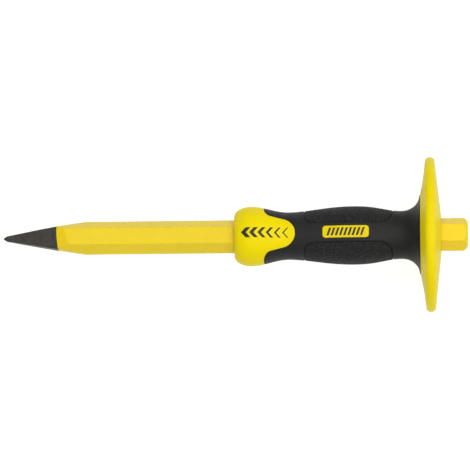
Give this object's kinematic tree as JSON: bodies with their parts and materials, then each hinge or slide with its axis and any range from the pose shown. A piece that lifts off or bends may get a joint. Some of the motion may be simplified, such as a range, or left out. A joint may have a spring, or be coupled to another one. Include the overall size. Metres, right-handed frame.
{
  "type": "cold chisel",
  "caption": "Cold chisel with a forged pyramid point on a hexagonal bar, a soft grip with textured pads, and a round hand guard below the chamfered striking head.",
  "frame": {"origin": "centre of the striking face at the head of the bar", "axes": "+X along the bar, out of the striking face; the point is at -X; +Z out of the front badge, square to one flat of the hexagonal bar; +Y completes a right-handed frame"},
  "size_m": [0.3, 0.1, 0.1],
  "materials": {
    "painted_steel": "gloss yellow paint on the shank and head, bare dark forged steel on the point",
    "yellow_moulding": "gloss yellow plastic",
    "black_soft_grip": "satin black thermoplastic rubber",
    "textured_pad": "matt black thermoplastic rubber with fine raised dots",
    "badge_plastic": "satin yellow plastic"
  },
  "bodies": {
    "root": {"chisel_bar": "painted_steel", "guard_core": "yellow_moulding", "grip_sleeve": "black_soft_grip", "upper_pad": "textured_pad", "lower_pad": "textured_pad", "front_badge": "badge_plastic", "back_badge": "badge_plastic"}
  },
  "joints": []
}
